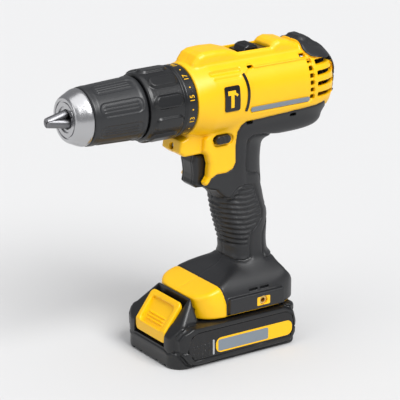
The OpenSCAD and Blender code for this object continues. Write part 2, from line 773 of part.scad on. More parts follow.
module release_button() color("gold") difference() {
    intersection() {
        across(18.6) polygon([
            [-35.3, 16.4], [-35.3, 24.3], [-34, 26], [-20.6, 44], [-18.4, 44],
            [-19.6, 39.4], [-28, 28], [-32.6, 23], [-32.6, 16.4]]);
        upward(0, 60) offset(delta = -0.4) pack_plan();
    }
    // Finger scoop across the slope.
    translate([0, -33.4, 36.1]) rotate([0, 90, 0]) cylinder(r = 7, h = 26, center = true, $fn = 48);
}

housing_left();
housing_right();
grip_left();
grip_right();
rear_bumper();
housing_screws();
side_plates();
led_lamp();
belt_hook_inserts();
gear_housing();
clutch_balls();
clutch_washer();
clutch_spring();
ring_gear_front();
ring_gear_rear();
ratchet_fixed();
spindle_bearing();
motor_can();
motor_magnets();
motor_end_cap();
carbon_brushes();
trigger_switch();
terminal_block();
switch_leads();
motor_leads();
spindle();
carrier_front();
ratchet_spindle();
chuck_body();
chuck_nose();
chuck_screw();
chuck_sleeve();
chuck_nut();
jaw_top();
jaw_left();
jaw_right();
planet_front_1();
planet_front_2();
planet_front_3();
carrier_middle();
carrier_rear();
planets_middle();
planet_rear_1();
planet_rear_2();
planet_rear_3();
shift_ring();
rotor_shaft();
pinion_gear();
rotor_core();
commutator();
cooling_fan();
torque_collar();
clutch_nut();
speed_selector();
trigger();
direction_button();
pack_lower_shell();
pack_upper_shell();
pack_cells();
release_button();
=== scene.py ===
# %% [markdown]
# A compact cordless hammer drill: a yellow glass-filled nylon housing in two halves, a soft grip moulded
# over it, a keyless chuck in front, a numbered torque collar behind it and a slide-on battery pack.
#
# The housing could be modelled by hand from a box and smoothed, or lofted from a few sections.
# Here its outside is one formula instead: a number for every point in space, negative inside the tool.
# Rounded blends, ribs and recesses are then short terms of that formula, and the left shell, the right
# shell, the grips and the bumper are cut from one surface, so that every seam fits exactly.
# Round parts are two-parameter surfaces: an angle round the axis and a place along a profile.

# %% Start
import json
import math
import bpy
import numpy as np
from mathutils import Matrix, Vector


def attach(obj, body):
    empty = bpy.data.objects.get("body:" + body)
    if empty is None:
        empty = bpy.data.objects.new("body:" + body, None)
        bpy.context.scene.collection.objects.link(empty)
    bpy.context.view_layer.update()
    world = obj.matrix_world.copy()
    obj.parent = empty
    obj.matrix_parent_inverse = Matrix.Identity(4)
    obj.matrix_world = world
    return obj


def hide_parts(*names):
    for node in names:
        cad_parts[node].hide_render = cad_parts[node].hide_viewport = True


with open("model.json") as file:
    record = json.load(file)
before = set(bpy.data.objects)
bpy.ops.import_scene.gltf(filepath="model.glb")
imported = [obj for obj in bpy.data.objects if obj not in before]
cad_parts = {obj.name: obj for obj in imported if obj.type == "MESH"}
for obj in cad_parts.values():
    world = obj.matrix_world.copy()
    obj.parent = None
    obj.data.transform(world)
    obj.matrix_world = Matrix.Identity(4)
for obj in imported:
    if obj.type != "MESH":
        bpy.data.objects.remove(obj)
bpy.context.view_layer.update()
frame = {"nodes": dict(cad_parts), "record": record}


MM = 0.001
AXIS_Z = 185.0  # height of the chuck's axis
LAMP_Z = 152.6

# %% [markdown]
# Formulas for solids. Each returns about the distance to a surface, in millimetres, negative inside.
# A smooth minimum joins two solids with a fillet of size k, and a smooth maximum cuts with a rounded edge.

# %% Solids as formulas


def smooth_min(a, b, k):
    """min(a, b) with a blend of width k: h = clip(1/2 + (b - a) / 2k), b (1 - h) + a h - k h (1 - h)."""
    h = np.clip(0.5 + 0.5 * (b - a) / k, 0, 1)
    return b * (1 - h) + a * h - k * h * (1 - h)


def smooth_max(a, b, k):
    """max(a, b) = -min(-a, -b), with the same blend."""
    return -smooth_min(-a, -b, k)


def outline_distance(a, b, corners):
    """Signed distance in a plane to a closed outline: nearest point of every edge, sign by crossings."""
    corners = np.array(corners, float)
    nearest = np.full(np.broadcast(a, b).shape, 1e9)
    inside = np.zeros(nearest.shape, bool)
    for (pa, pb), (qa, qb) in zip(corners, np.roll(corners, -1, 0)):
        ea, eb = qa - pa, qb - pb
        t = np.clip(((a - pa) * ea + (b - pb) * eb) / (ea * ea + eb * eb), 0, 1)
        nearest = np.minimum(nearest, (a - pa - t * ea) ** 2 + (b - pb - t * eb) ** 2)
        if eb:
            inside ^= ((pb > b) != (qb > b)) & (a < pa + (b - pb) * ea / eb)
    return np.where(inside, -1, 1) * np.sqrt(nearest)


def rounded_box(a, b, centre, half, r):
    """Signed distance to a rectangle with corners of radius r."""
    da = np.abs(a - centre[0]) - half[0] + r
    db = np.abs(b - centre[1]) - half[1] + r
    return np.hypot(np.maximum(da, 0), np.maximum(db, 0)) + np.minimum(np.maximum(da, db), 0) - r


def recess(f, region, depth, k):
    """Sinks the surface by depth where region is negative."""
    return smooth_max(f, smooth_min(f + depth, -region, k), k)


def raised(f, region, height, k):
    """Lifts the surface by height where region is negative."""
    return smooth_min(f, smooth_max(f - height, region, k), k)


def groove(f, distance, depth, width):
    """A soft valley along distance = 0: f + depth exp(-(d / width)^2)."""
    return f + depth * np.exp(-((distance / width) ** 2))


def through(t, knots, values):
    """Smooth curve through the knots: cubic Hermite pieces with the mean slope at each knot."""
    knots, values = np.array(knots, float), np.array(values, float)
    slopes = np.gradient(values, knots)
    t = np.clip(t, knots[0], knots[-1])
    k = np.clip(np.searchsorted(knots, t) - 1, 0, len(knots) - 2)
    h = knots[k + 1] - knots[k]
    u = (t - knots[k]) / h
    rise = values[k] * (1 + 2 * u) * (1 - u) ** 2 + values[k + 1] * u * u * (3 - 2 * u)
    return rise + h * (slopes[k] * u * (1 - u) ** 2 + slopes[k + 1] * u * u * (u - 1))


def oval_distance(terms, power, size):
    """Superellipse: (sum of |v / r|^n)^(1/n) - 1, scaled by about its radius."""
    return (sum(np.abs(v / r) ** power for v, r in terms) ** (1 / power) - 1) * size


print("solids ready")

# %% [markdown]
# From a formula to a mesh. Every cell of a grid that the surface crosses gets one point, and every grid
# edge that it crosses gets one quad. The points then slide along the gradient onto the exact surface.

# %% Meshing


def surface_net(field, low, high, step):
    """Points and triangles of field = 0, one point per crossed cell: the mean of its edge crossings."""
    low, high = np.array(low, float), np.array(high, float)
    counts = np.ceil((high - low) / step).astype(int) + 1
    x, y, z = (low[i] + step * np.arange(counts[i]) for i in range(3))
    v = np.broadcast_to(field(x[:, None, None], y[None, :, None], z[None, None, :]), counts)
    cells = counts - 1
    ids, places, quads = [], [], []
    for a in range(3):
        b, c = (a + 1) % 3, (a + 2) % 3
        v0 = np.take(v, range(counts[a] - 1), a)
        v1 = np.take(v, range(1, counts[a]), a)
        at = np.argwhere((v0 < 0) != (v1 < 0))
        at = at[(at[:, b] > 0) & (at[:, c] > 0) & (at[:, b] < cells[b]) & (at[:, c] < cells[c])]
        f0, f1 = v0[tuple(at.T)], v1[tuple(at.T)]
        place = at.astype(float)
        place[:, a] += f0 / (f0 - f1)
        corners = []
        for db, dc in ((1, 1), (0, 1), (0, 0), (1, 0)):
            cell = at.copy()
            cell[:, b] -= db
            cell[:, c] -= dc
            corners.append(np.ravel_multi_index(tuple(cell.T), cells))
        quad = np.stack(corners, 1)
        ids.append(quad.ravel())
        places.append(np.repeat(place, 4, 0))
        quads.append(np.where((f0 < 0)[:, None], quad, quad[:, ::-1]))
    ids, places = np.concatenate(ids), np.concatenate(places)
    used, back = np.unique(ids, return_inverse=True)
    number = np.bincount(back)
    points = np.stack([np.bincount(back, places[:, i]) / number for i in range(3)], 1)
    quads = np.searchsorted(used, np.concatenate(quads))
    points = settle(field, low + step * points, step)
    return points, np.concatenate([quads[:, [0, 1, 2]], quads[:, [0, 2, 3]]])


def gradient(field, p, h=0.04):
    """Central differences along each axis."""
    steps = np.eye(3) * h
    return np.stack([field(*(p + s).T) - field(*(p - s).T) for s in steps], 1) / (2 * h)


def settle(field, p, step):
    """Newton steps p - f g / |g|^2, each at most a fraction of a cell."""
    for _ in range(3):
        g = gradient(field, p)
        move = -field(*p.T)[:, None] * g / np.maximum((g * g).sum(1), 0.05)[:, None]
        length = np.linalg.norm(move, axis=1)[:, None]
        p = p + move * np.minimum(1, 0.35 * step / np.maximum(length, 1e-9))
    return p


def cut(points, tris, keep):
    """Keeps the part of a mesh where keep > 0, with new points where it crosses zero."""
    kept = keep[tris] > 0
    count = kept.sum(1)
    faces = [tris[count == 3]]
    new_points, pairs, pieces = [points], [], []
    offset = len(points)
    for wanted, first in ((1, True), (2, False)):
        mixed, flags = tris[count == wanted], kept[count == wanted]
        if not len(mixed):
            continue
        lead = np.argmax(flags == first, 1)
        rolled = np.take_along_axis(mixed, (lead[:, None] + np.arange(3)) % 3, 1)
        a, b, c = rolled.T
        pairs += [np.stack([a, b], 1), np.stack([a, c], 1)]
        pieces.append((wanted, a, b, c))
    if not pairs:
        return points, tris
    edges, back = np.unique(np.sort(np.concatenate(pairs), 1), axis=0, return_inverse=True)
    back = back.ravel() + offset
    k0, k1 = keep[edges[:, 0]], keep[edges[:, 1]]
    t = (k0 / (k0 - k1))[:, None]
    new_points.append(points[edges[:, 0]] * (1 - t) + points[edges[:, 1]] * t)
    start = 0
    for wanted, a, b, c in pieces:
        ab, ac = back[start:start + len(a)], back[start + len(a):start + 2 * len(a)]
        start += 2 * len(a)
        if wanted == 1:
            faces.append(np.stack([a, ab, ac], 1))
        else:
            faces += [np.stack([ab, b, c], 1), np.stack([ab, c, ac], 1)]
    return compact(np.concatenate(new_points), np.concatenate(faces))


def compact(points, faces):
    """Drops the points that no face uses and numbers the rest again."""
    used, back = np.unique(faces, return_inverse=True)
    return points[used], back.reshape(faces.shape)


def point_normals(points, tris):
    """Mean of the face normals round each point, by area."""
    p = points[tris]
    face = np.cross(p[:, 1] - p[:, 0], p[:, 2] - p[:, 0])
    corners = tris.ravel()
    total = [np.bincount(corners, np.repeat(face[:, i], 3), len(points)) for i in range(3)]
    total = np.stack(total, 1)
    return total / np.maximum(np.linalg.norm(total, axis=1), 1e-12)[:, None]


def shell(points, tris, thickness):
    """Closes an open surface: an inner copy along the normals, and a rim along every open edge."""
    inner = points - thickness * point_normals(points, tris)
    n = len(points)
    edges = np.concatenate([tris[:, [0, 1]], tris[:, [1, 2]], tris[:, [2, 0]]])
    forward, reverse = edges[:, 0] * n + edges[:, 1], edges[:, 1] * n + edges[:, 0]
    a, b = edges[~np.isin(reverse, forward)].T
    rim = np.concatenate([np.stack([b, a, a + n], 1), np.stack([b, a + n, b + n], 1)])
    return np.concatenate([points, inner]), np.concatenate([tris, tris[:, ::-1] + n, rim])


def grid_quads(rows, columns, wrap_rows=False, wrap_columns=False):
    """Quads of a grid of points, closed on itself along rows or columns if asked."""
    i = np.arange(rows if wrap_rows else rows - 1)[:, None]
    j = np.arange(columns if wrap_columns else columns - 1)[None, :]
    a, b = i * columns + j, i * columns + (j + 1) % columns
    c, d = (i + 1) % rows * columns + (j + 1) % columns, (i + 1) % rows * columns + j
    return np.stack([a, b, c, d], -1).reshape(-1, 4)


def outwards(points, faces):
    """Turns every face over if the volume they enclose comes out negative."""
    p = points[faces]
    volume = 0
    for k in range(1, faces.shape[1] - 1):
        volume += np.einsum("ij,ij->i", p[:, 0], np.cross(p[:, k], p[:, k + 1])).sum()
    return faces if volume > 0 else faces[:, ::-1]


def piece(name, points, faces, look, body, nodes=(), angle=35):
    """A mesh object from millimetre points and faces of one size, riding on a CAD body."""
    faces = outwards(points, faces)
    mesh = bpy.data.meshes.new(name)
    mesh.vertices.add(len(points))
    mesh.vertices.foreach_set("co", (np.asarray(points) * MM).astype(np.float32).ravel())
    mesh.loops.add(faces.size)
    mesh.loops.foreach_set("vertex_index", faces.astype(np.int32).ravel())
    mesh.polygons.add(len(faces))
    mesh.polygons.foreach_set("loop_start", (np.arange(len(faces)) * faces.shape[1]).astype(np.int32))
    mesh.update(calc_edges=True)
    mesh.validate()
    mesh.materials.append(look)
    mesh.shade_smooth()
    mesh.set_sharp_from_angle(angle=math.radians(angle))
    thing = bpy.data.objects.new(name, mesh)
    bpy.context.scene.collection.objects.link(thing)
    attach(thing, body)
    for node in nodes:
        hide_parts(node)
    print(name, len(points), "points")
    return thing


print("meshing ready")

# %% [markdown]
# Materials. Two effects are shared as node groups that only give heights, masks and values:
# moulded grain (a fine noise) and turned marks (noise drawn out round an axis). Each also gives a broad,
# faint mottle that changes colour and shine a little. The Principled shader stays in each material.

# %% Shared shader groups


def group(name, outputs):
    """A node group with a Scale going in and the named values coming out."""
    tree = bpy.data.node_groups.new(name, "ShaderNodeTree")
    tree.interface.new_socket("Scale", in_out="INPUT", socket_type="NodeSocketFloat").default_value = 1
    for label in outputs:
        tree.interface.new_socket(label, in_out="OUTPUT", socket_type="NodeSocketFloat")
    return tree, tree.nodes.new("NodeGroupInput"), tree.nodes.new("NodeGroupOutput")


def noise(tree, vector, scale, detail, roughness=0.5):
    """Fractal noise at a place, as a value."""
    n = tree.nodes.new("ShaderNodeTexNoise")
    n.inputs["Scale"].default_value = scale
    n.inputs["Detail"].default_value = detail
    n.inputs["Roughness"].default_value = roughness
    tree.links.new(vector, n.inputs["Vector"])
    return n.outputs["Fac"]


def scaled_place(tree, entry, stretch):
    """Object coordinates times the group's Scale and a fixed stretch."""
    coords = tree.nodes.new("ShaderNodeTexCoord")
    mapping = tree.nodes.new("ShaderNodeMapping")
    mapping.inputs["Scale"].default_value = stretch
    by = tree.nodes.new("ShaderNodeVectorMath")
    by.operation = "SCALE"
    tree.links.new(coords.outputs["Object"], mapping.inputs["Vector"])
    tree.links.new(mapping.outputs["Vector"], by.inputs[0])
    tree.links.new(entry.outputs["Scale"], by.inputs["Scale"])
    return by.outputs["Vector"]


grain, entry, leave = group("Moulded grain", ["Height", "Mottle"])
place = scaled_place(grain, entry, (1, 1, 1))
grain.links.new(noise(grain, place, 2600, 2), leave.inputs["Height"])
grain.links.new(noise(grain, place, 45, 4, 0.6), leave.inputs["Mottle"])

marks, entry, leave = group("Turned marks", ["Height", "Mottle"])
place = scaled_place(marks, entry, (0.06, 1, 0.06))
marks.links.new(noise(marks, place, 9000, 3), leave.inputs["Height"])
marks.links.new(noise(marks, scaled_place(marks, entry, (1, 1, 1)), 60, 3), leave.inputs["Mottle"])


# The Mix node has one set of sockets for each type of data, and these are the colour ones.
MIX_A, MIX_B, MIX_OUT = 6, 7, 2
ROUGH_SPREAD = 0.06
TONE_LOW, TONE_HIGH = 0.94, 1.06
BUMP_HEIGHT = 0.0002


def finish_of(name, colour, rough, effect=grain, scale=1.0, bump=0.1, metal=0.0, clear=0.0):
    """A Principled material whose colour, roughness and bump come from one shared group."""
    m = bpy.data.materials.new(name)
    m.use_nodes = True
    t = m.node_tree
    shader = t.nodes["Principled BSDF"]
    shader.inputs["Metallic"].default_value = metal
    shader.inputs["Transmission Weight"].default_value = clear
    use = t.nodes.new("ShaderNodeGroup")
    use.node_tree = effect
    use.inputs["Scale"].default_value = scale
    tone = t.nodes.new("ShaderNodeMapRange")
    tone.inputs["To Min"].default_value = rough - ROUGH_SPREAD
    tone.inputs["To Max"].default_value = rough + ROUGH_SPREAD
    t.links.new(use.outputs["Mottle"], tone.inputs["Value"])
    t.links.new(tone.outputs["Result"], shader.inputs["Roughness"])
    mix = t.nodes.new("ShaderNodeMix")
    mix.data_type = "RGBA"
    mix.inputs[MIX_A].default_value = (*[c * TONE_LOW for c in colour], 1)
    mix.inputs[MIX_B].default_value = (*[min(1, c * TONE_HIGH) for c in colour], 1)
    t.links.new(use.outputs["Mottle"], mix.inputs[0])
    t.links.new(mix.outputs[MIX_OUT], shader.inputs["Base Color"])
    lift = t.nodes.new("ShaderNodeBump")
    lift.inputs["Strength"].default_value = bump
    lift.inputs["Distance"].default_value = BUMP_HEIGHT
    t.links.new(use.outputs["Height"], lift.inputs["Height"])
    t.links.new(lift.outputs["Normal"], shader.inputs["Normal"])
    return m


yellow = finish_of("yellow nylon", (1.0, 0.54, 0.0), 0.36, bump=0.12)
rubber = finish_of("soft grip", (0.014, 0.0145, 0.016), 0.42, bump=0.35, scale=0.7)
black = finish_of("black nylon", (0.009, 0.0095, 0.0105), 0.3, bump=0.25)
chuck_black = finish_of("chuck plastic", (0.02, 0.021, 0.023), 0.36, bump=0.15)
gloss = finish_of("gloss black", (0.006, 0.006, 0.007), 0.22, bump=0.02)
satin = finish_of("satin steel", (0.5, 0.5, 0.51), 0.26, marks, bump=0.15, metal=1.0)
pale_print = finish_of("pale print", (0.4, 0.41, 0.42), 0.5, bump=0.02)
yellow_print = finish_of("yellow print", (1.0, 0.54, 0.0), 0.5, bump=0.02)
stripe_grey = finish_of("grey stripe", (0.2, 0.235, 0.27), 0.45, bump=0.05)
lens = finish_of("lamp lens", (0.93, 0.94, 0.9), 0.12, bump=0.0, clear=0.6)
looks = {
    "yellow_plastic": yellow, "soft_grip": rubber, "black_plastic": black, "chuck_plastic": chuck_black,
    "satin_steel": satin, "plate_black": gloss, "knob_black": gloss, "lamp_lens": lens,
    "hard_steel": finish_of("hardened steel", (0.2, 0.2, 0.21), 0.34, marks, bump=0.1, metal=1.0),
    "gear_steel": finish_of("sintered steel", (0.3, 0.3, 0.31), 0.5, bump=0.2, metal=1.0),
    "zinc_steel": finish_of("zinc plate", (0.55, 0.56, 0.58), 0.36, bump=0.1, metal=1.0),
    "gear_case": finish_of("glass-filled nylon", (0.09, 0.09, 0.095), 0.55, bump=0.3),
    "brass": finish_of("brass", (0.72, 0.5, 0.17), 0.32, marks, bump=0.1, metal=1.0),
    "magnet": finish_of("ferrite", (0.05, 0.05, 0.055), 0.6),
    "copper": finish_of("copper", (0.75, 0.33, 0.18), 0.35, marks, bump=0.1, metal=1.0),
    "carbon": finish_of("carbon", (0.02, 0.02, 0.021), 0.6),
    "core_steel": finish_of("varnished laminations", (0.16, 0.06, 0.035), 0.4, marks, bump=0.3),
    "lead_red": finish_of("red lead", (0.5, 0.02, 0.015), 0.45),
    "lead_black": finish_of("black lead", (0.02, 0.02, 0.02), 0.45),
    "terminal_orange": finish_of("terminal block", (0.75, 0.2, 0.02), 0.5),
    "cell_wrap": finish_of("cell wrap", (0.05, 0.16, 0.38), 0.35, bump=0.03),
}
slot_of = {part["node"]: part["material_slot"] for part in frame["record"]["subparts"]}
for node, thing in frame["nodes"].items():
    thing.data.materials.clear()
    thing.data.materials.append(looks[slot_of[node]])
print("materials", len(looks))

# %% [markdown]
# The tool body. The motor barrel is a superellipse whose power rises from 2 (round, behind the collar)
# to 2.4 (squarer, over the motor) and which closes like a dome at the back. A ridge, a belly, the
# throat round the trigger, the lamp nose, the handle and the foot are blended to it.

# %% Body formula
SOFT = [(-8, 112), (0, 122), (3, 125), (6.3, 129.5), (10.4, 131.7), (18.8, 131.6), (23.8, 133.6),
        (25.9, 137.6), (25.8, 150.6), (25.7, 160), (27.8, 164.7), (31, 167.5), (57, 168.7), (91, 170.5),
        (98, 172), (104, 166), (108, 162), (125, 140), (84, 32), (9, 32), (9, 40), (7, 48), (5.2, 54.5),
        (0, 64)]
BUMPER = [(83.5, 232), (83.5, 210), (84.5, 207.3), (87, 205.2), (92, 204), (97, 203), (104, 200.2),
          (109.5, 195.5), (112, 189), (112.8, 180), (111.6, 174), (128, 168), (128, 232)]
RIDGE = [(-6, 200), (-5.5, 211), (-1.5, 216), (3, 217.8), (12, 218.2), (22, 217.6), (28.5, 215.6),
         (31, 214.8), (59, 214.5), (62, 217), (66, 218.2), (74, 217), (82, 213), (87, 210.6), (90, 206),
         (90, 200)]
BUMPER_RIDGE = [(83.8, 205), (84.2, 214), (86.3, 217), (91, 217.2), (98.5, 213), (104.5, 207.5),
                (107, 202), (100, 198), (90, 200)]
THROAT = [(1, 158), (0.2, 149.7), (3.5, 145.4), (5.1, 139.3), (4.4, 130.5), (1.8, 127), (1.4, 126.6),
          (1.9, 123.4), (4, 121.4), (11, 119.4), (17, 113.5), (24, 110), (34, 118), (34, 160), (14, 168)]
NOSE = [(-9.9, 162), (-9.9, 160), (-15.4, 158), (-16.8, 150), (-12.6, 146.6), (14, 146.6), (14, 162)]
PAD_FRONT = [(10.5, 111.9), (16.5, 109.7), (20.5, 110.3), (25.3, 115.8), (28.5, 118.7), (33.4, 119.5),
             (41.5, 118.5), (43.6, 115.2), (47, 105.4), (49.9, 98.4), (49.2, 92.9), (45.1, 87.9),
             (41, 83.7), (39.8, 79), (39.6, 64.7), (34.5, 63.2), (27.9, 64), (19.8, 67), (4, 74)]
PAD_TOP = [(64, 150.8), (48, 155.2), (38.7, 155.7), (35.4, 153.5), (35.5, 130.5), (37.7, 128), (44.6, 126.9),
           (48.7, 123.9), (54.2, 111.6), (56, 99.1), (68, 99)]
PAD_REAR = [(57.2, 90.4), (51.5, 83.2), (50.6, 79.8), (50.9, 63.2), (52.2, 61.9), (70, 62.9), (70, 90.4)]
SCREWS = [(2, 211.6), (72, 208), (97, 167), (31, 159.2), (31, 97), (50.5, 68), (12, 42.8), (64.5, 42.8)]
HANDLE_Z = [50, 58, 62, 74, 84, 94, 108, 115, 124, 138, 150, 160]
HANDLE_MID = [44, 44.2, 43.8, 42.75, 41.45, 40.1, 37.05, 35.8, 34.9, 34.6, 35.2, 35.5]
HANDLE_HALF = [18.5, 17.6, 17.1, 16.5, 18.2, 19.7, 19.4, 19.2, 19, 18.8, 19.5, 20]
HANDLE_WIDE = [19.5, 17.8, 16.9, 16, 16.2, 16.5, 16.5, 16.5, 16.6, 16.8, 17.1, 17.3]
BACK_END = 112.6
SCREW_HOLE_R = 3.3
FOOT_SIDE = [(29, 64), (27.9, 61.4), (14, 56.6), (5.5, 53), (-13.4, 46.4), (-13, 30), (73.5, 30),
             (74.4, 35), (74.2, 40), (71.8, 45.5), (64.1, 53.6), (60.5, 60), (60, 64)]


def plain_body(x, y, z):
    """The blended masses of the tool without seams, recesses or holes."""
    ax = np.abs(x)
    late = np.clip((y + 9.7) / 14.7, 0, 1)
    power = 2 + 0.4 * late
    wide, high, mid = 25.1 + 0.9 * late, 25.1 + 1.2 * late, AXIS_Z - 0.7 * late
    back = np.clip((y - 72) / (BACK_END - 72), 0, 2) ** 4
    barrel = ((ax / wide) ** power + (np.abs(z - mid) / high) ** power + back) ** (1 / power)
    f = smooth_max((barrel - 1) * 25, -9.7 - y, 1.2)
    f = smooth_min(f, smooth_max(outline_distance(y, z, RIDGE), ax - 12.2, 5), 2)
    f = smooth_min(f, oval_distance([(ax, 21.5), (z - 167, 16), (y - 60, 43)], 4, 16), 3)
    mid_y, half_y = through(z, HANDLE_Z, HANDLE_MID), through(z, HANDLE_Z, HANDLE_HALF)
    handle = oval_distance([(ax, through(z, HANDLE_Z, HANDLE_WIDE)), (y - mid_y, half_y)], 2.5, 16)
    handle = smooth_max(smooth_max(handle, z - 162, 1), 50 - z, 1)
    f = smooth_min(f, handle, 6)
    f = smooth_min(f, smooth_max(outline_distance(y, z, THROAT), ax - 16.9, 3.5), 2)
    f = smooth_min(f, smooth_max(outline_distance(y, z, NOSE), ax - 12, 2.5), 1.5)
    foot = oval_distance([(ax, 33.0), (np.maximum(z - 31, 0), 32)], 2.6, 29)
    foot = smooth_max(foot, oval_distance([(ax, 33.0), (y - 30.3, 43.9)], 3.6, 33), 3)
    foot = smooth_max(foot, outline_distance(y, z, FOOT_SIDE), 2.5)
    foot = smooth_max(foot, 31 - z, 0.8)
    flank = smooth_max(ax - 34.3, rounded_box(y, z, (33.5, 38.7), (23.5, 5.8), 1.5), 1.2)
    flank = smooth_max(flank, 20 - ax, 1)
    foot = smooth_min(foot, flank, 0.8)
    return smooth_min(f, foot, 7)


def body_field(x, y, z):
    """The tool body with its bumper, seams, ribs, recesses and openings."""
    ax = np.abs(x)
    f = plain_body(x, y, z)
    bump = outline_distance(y, z, BUMPER)
    f = raised(f, bump, 2.0, 1.2)
    f = smooth_min(f, smooth_max(outline_distance(y, z, BUMPER_RIDGE), ax - 9.5, 5), 3)
    f = smooth_max(f, -oval_distance([(x, 7), (y - 99, 5), (z - 213, 3.4)], 2, 3), 1)
    soft = outline_distance(y, z, SOFT)
    pad = outline_distance(y, z, PAD_FRONT)
    ribs = 0.5 + 0.5 * np.cos((z + 0.7 * np.sin(y / 4.5)) * (2 * np.pi / 3.75))
    in_ribs = np.clip(-pad / 1.5 - 0.6, 0, 1) * np.clip((z - 73) / 2, 0, 1)
    f = f + 0.8 * ribs * in_ribs
    for edge in (pad, outline_distance(y, z, PAD_TOP), outline_distance(y, z, PAD_REAR)):
        f = groove(f, edge, 0.8, 0.8)
    f = groove(f, soft, 0.6, 0.7)
    f = groove(f, x, 0.3, 0.5)
    # Round channels along the upper front.
    for gx, gz, r, y0, y1 in ((18.8, 204.8, 1.7, 3, 28), (22.4, 201.0, 0.9, 5, 26)):
        channel = smooth_max(np.hypot(ax - gx, z - gz) - r, np.abs(y - (y0 + y1) / 2) - (y1 - y0) / 2, 1)
        f = smooth_max(f, -channel, 0.6)
    flank = 18 - ax
    panel = np.maximum(rounded_box(y, z, (58.5, 189), (27.5, 15), 4), flank)
    f = recess(f, panel, 0.9, 0.4)
    f = recess(f, rounded_box(y, z, (15, 155.55), (8.2, 4.1), 4), 1.3, 0.8)
    # Cooling slots, square vents and windows, cut right through.
    for sz in (177, 184.6, 192.2, 199.4):
        f = recess(f, np.maximum(rounded_box(y, z, (98.5, sz + 1.3), (9, 1.7), 0.8), 6 - ax), 9, 0.3)
    for k in range(6):
        f = recess(f, np.maximum(rounded_box(y, z, (85.1, 177.6 + 4.9 * k), (1.6, 1.5), 0.4), flank), 9, 0.2)
    for sy in (32, 41.5):
        f = recess(f, np.maximum(rounded_box(y, z, (sy, 46.9), (3.6, 0.8), 0.4), 20 - ax), 2, 0.2)
    for wy, wz in ((36.5, 204.6), (81.5, 205.6), (34, 166.3), (70.5, 166.3)):
        f = recess(f, np.maximum(rounded_box(y, z, (wy, wz), (2.5, 1.1), 0.3), 10 - ax), 9, 0.2)
    f = recess(f, rounded_box(y, z, (14.6, 156.5), (6.5, 3.5), 3.5), 30, 0.3)
    f = smooth_max(f, -np.maximum(rounded_box(y, z, (11, 133.2), (21, 13.5), 1), ax - 10), 0.6)
    f = smooth_max(f, -np.maximum(ax - 9.5, rounded_box(y, z, (45.5, 225), (14, 13.8), 1)), 0.6)
    f = smooth_max(f, -np.maximum(np.hypot(x, z - AXIS_Z) - 22, y - 12), 0.4)
    f = smooth_max(f, -np.maximum(np.hypot(x, z - LAMP_Z) - 2.6, y + 4), 0.4)
    f = smooth_max(f, -np.maximum(ax - 21, np.maximum(z - 38.5, y - 62.5)), 0.4)
    f = smooth_max(f, -np.maximum(np.hypot(y - 38.5, z - 38.5) - 3.3, 26 - ax), 0.4)
    hole = np.min([np.hypot(y - sy, z - sz) for sy, sz in SCREWS], axis=0) - SCREW_HOLE_R
    return smooth_max(f, -np.maximum(hole, x + 7), 0.4)


print("body outlines ready,", len(SCREWS), "screw holes")

# %% Body shells
BODY_STEP = 0.8
points, tris = surface_net(body_field, (-36, -19, 29), (36, 117, 222), BODY_STEP)
points, tris = cut(points, tris, plain_body(*points.T) + 2.2)
points, tris = cut(points, tris, points[:, 2] - 31.3)
print("body surface", len(points))


def colour_fields(p):
    """Signed fields of the soft grip and of the bumper at each point, negative inside."""
    window = rounded_box(p[:, 1], p[:, 2], (38.5, 38.4), (5.5, 3.2), 0.8)
    soft = np.maximum(outline_distance(p[:, 1], p[:, 2], SOFT), -np.maximum(window, 25 - np.abs(p[:, 0])))
    return soft, outline_distance(p[:, 1], p[:, 2], BUMPER)


SHELL_WALL = 1.2


def body_part(name, choose, look, node):
    """One moulding: the body surface kept where choose(points) > 0, given a wall."""
    soft, bump = colour_fields(points)
    p, t = cut(points, tris, choose(points[:, 0], soft, bump))
    p, t = shell(p, t, SHELL_WALL)
    return piece(name, p, t, look, "housing", (node,))


def split_twice(name, first, second, look, node):
    """Two cuts one after the other, so that the corner where they meet stays clean."""
    soft, bump = colour_fields(points)
    p, t = cut(points, tris, first(points, soft, bump))
    soft, bump = colour_fields(p)
    p, t = cut(p, t, second(p, soft, bump))
    p, t = shell(p, t, SHELL_WALL)
    return piece(name, p, t, look, "housing", (node,))


for side, sign in (("left", 1), ("right", -1)):
    split_twice("housing_shell_" + side, lambda p, s, b: np.minimum(s, b), lambda p, s, b: sign * p[:, 0],
                yellow, "housing_" + side)
    split_twice("soft_grip_" + side, lambda p, s, b: -s, lambda p, s, b: sign * p[:, 0],
                rubber, "grip_" + side)
body_part("bumper", lambda x, s, b: -b, rubber, "rear_bumper")

# %% [markdown]
# The battery pack is a rounded box with a sloping tower in front, a rail block on top and soft side
# pads. It is cut at the seam into a lower and an upper shell. The trigger, the buttons and the speed
# selector are small solids of the same kind.

# %% Battery pack
SIDE_PAD = [(-24.9, 4.7), (-31.1, 13.4), (-31.5, 22.1), (-28.7, 26.6), (-21.1, 29.6), (54.9, 29.5),
            (64, 25.8), (67.5, 16.9), (66.5, 8.4), (61.4, 3.5), (-19.2, 2.6)]
SIDE_PAD_INNER = [(-20.9, 5.8), (-25.7, 14.7), (-22.8, 24.3), (-17.1, 26.4), (57.2, 26.3), (63.3, 22.4),
                  (64.8, 14), (61.5, 6.9)]
TOWER = [(-35.4, 10), (-35.4, 22.5), (-33.7, 24.6), (-14.6, 46), (-13.4, 46), (-12.9, 10)]
BUTTON_POCKET = [(-38, 14), (-38, 26), (-20.9, 44.4), (-14.5, 48), (-15.6, 36), (-25, 24), (-29.2, 14)]
BUTTON = [(-35.3, 16.4), (-35.3, 24.3), (-34, 26), (-20.6, 44), (-18.4, 44), (-19.6, 39.4), (-28, 28),
          (-32.6, 23), (-32.6, 16.4)]
SEAM_Z = 13


